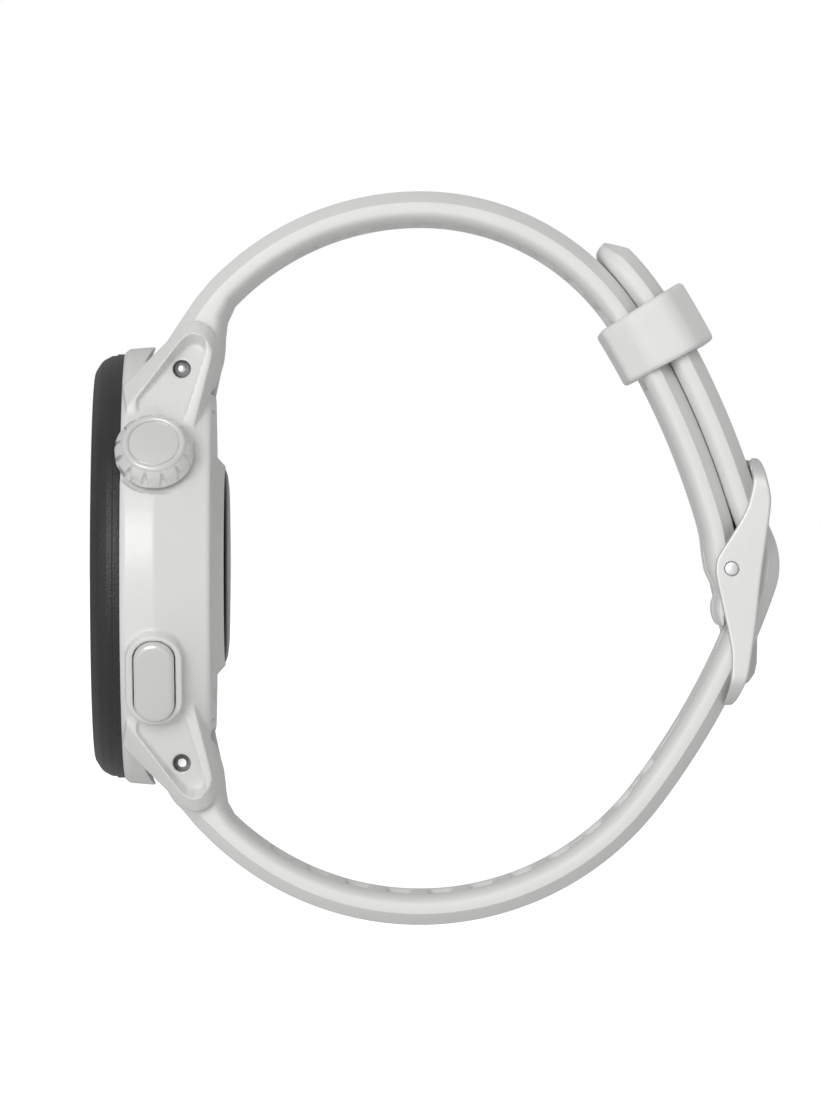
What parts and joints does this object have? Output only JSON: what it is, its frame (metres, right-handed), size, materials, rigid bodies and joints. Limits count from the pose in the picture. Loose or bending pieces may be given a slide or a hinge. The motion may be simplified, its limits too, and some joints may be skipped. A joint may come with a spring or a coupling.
{
  "type": "running watch",
  "caption": "Round sports watch with a knurled crown, a side button, an optical sensor bump and a silicone band closed by a pin buckle.",
  "frame": {"origin": "centre of the sensor window's outer face, which rests on the skin", "axes": "the dial faces -Y, twelve o'clock is +Z, the crown and the button are on the +X side"},
  "size_m": [0.0426, 0.0651, 0.0695],
  "materials": {
    "case_polymer": "fine matte",
    "bezel_polymer": "fine texture",
    "dial_glass": "clear over a dark display",
    "seal_rubber": "plain",
    "display": "dark panel",
    "flex_film": "film",
    "contact_gold": "plated",
    "frame_polymer": "moulded",
    "board": "solder mask",
    "spring_steel": "fine brushed",
    "cell_foil": "foil",
    "cover_polymer": "satin",
    "sensor_black": "polished",
    "led_lens": "clear tint",
    "diode": "dark",
    "crown_metal": "pale satin",
    "silicone": "soft matte",
    "buckle_metal": "pale satin"
  },
  "bodies": {
    "watch": {"case_body": "case_polymer", "bezel_ring": "bezel_polymer", "lens_glass": "dial_glass", "lens_gasket": "seal_rubber", "display_panel": "display", "display_flex": "flex_film", "antenna_ring": "contact_gold", "inner_frame": "frame_polymer", "main_board": "board", "shield_can": "spring_steel", "battery": "cell_foil", "vibration_motor": "spring_steel", "buzzer_disc": "contact_gold", "pressure_sensor": "spring_steel", "back_cover": "cover_polymer", "back_gasket": "seal_rubber", "back_screws": "spring_steel", "sensor_window": "sensor_black", "sensor_board": "board", "sensor_leds": "led_lens", "photodiodes": "diode", "charging_contacts": "contact_gold", "crown_tube": "spring_steel", "crown_encoder": "frame_polymer", "crown_switch": "frame_polymer", "button_switch": "frame_polymer"},
    "crown_stem": {"crown_clip": "spring_steel", "crown_seals": "seal_rubber"},
    "crown": {"crown_cap": "crown_metal", "crown_insert": "crown_metal", "crown_shaft": "spring_steel"},
    "button": {"button_cap": "crown_metal", "button_seal": "seal_rubber", "button_clip": "spring_steel"},
    "band": {"buckle_strap": "silicone", "holes_strap": "silicone", "buckle_frame": "buckle_metal", "buckle_pin": "spring_steel", "upper_bar_tube": "spring_steel", "upper_bar_spring": "spring_steel", "lower_bar_tube": "spring_steel", "lower_bar_springs": "spring_steel"},
    "keeper": {"keeper_loop": "silicone"},
    "tongue": {"buckle_tongue": "buckle_metal"},
    "upper_tip": {"upper_bar_slider": "spring_steel"},
    "lower_tip": {"lower_bar_slider": "spring_steel"},
    "lower_far_tip": {"lower_bar_far_slider": "spring_steel"}
  },
  "joints": [
    {"name": "crown_press", "type": "slide", "parent": "watch", "child": "crown_stem", "axis": [-0.866, 0, -0.5], "range_m": [0, 0.0003], "stiffness_N_per_m": 3000},
    {"name": "crown_turn", "type": "hinge", "parent": "crown_stem", "child": "crown", "pos_m": [0.01819, -0.00676, 0.0105], "axis": [0.866, 0, 0.5], "continuous": true},
    {"name": "button_press", "type": "slide", "parent": "watch", "child": "button", "axis": [-0.866, 0, 0.5], "range_m": [0, 0.0003], "stiffness_N_per_m": 3000},
    {"name": "band_swing", "type": "hinge", "parent": "watch", "child": "band", "pos_m": [0, -0.0043, 0.0186], "axis": [1, 0, 0], "range_deg": [0, 25]},
    {"name": "tongue_lift", "type": "hinge", "parent": "band", "child": "tongue", "pos_m": [0, 0.0476, -0.00025], "axis": [1, 0, 0], "range_deg": [0, 6]},
    {"name": "keeper_slide", "type": "hinge", "parent": "band", "child": "keeper", "pos_m": [0, -0.02859, -0.01761], "axis": [1, 0, 0], "range_deg": [-5.5, 0]},
    {"name": "upper_release", "type": "slide", "parent": "band", "child": "upper_tip", "axis": [1, 0, 0], "range_m": [0, 0.0012], "stiffness_N_per_m": 600},
    {"name": "lower_release", "type": "slide", "parent": "band", "child": "lower_tip", "axis": [-1, 0, 0], "range_m": [0, 0.0012]},
    {"name": "lower_far_release", "type": "slide", "parent": "band", "child": "lower_far_tip", "axis": [1, 0, 0], "range_m": [0, 0.0012]}
  ],
  "couplings": [
    {"joint": "lower_far_release", "follows": "lower_release", "ratio": 1}
  ]
}
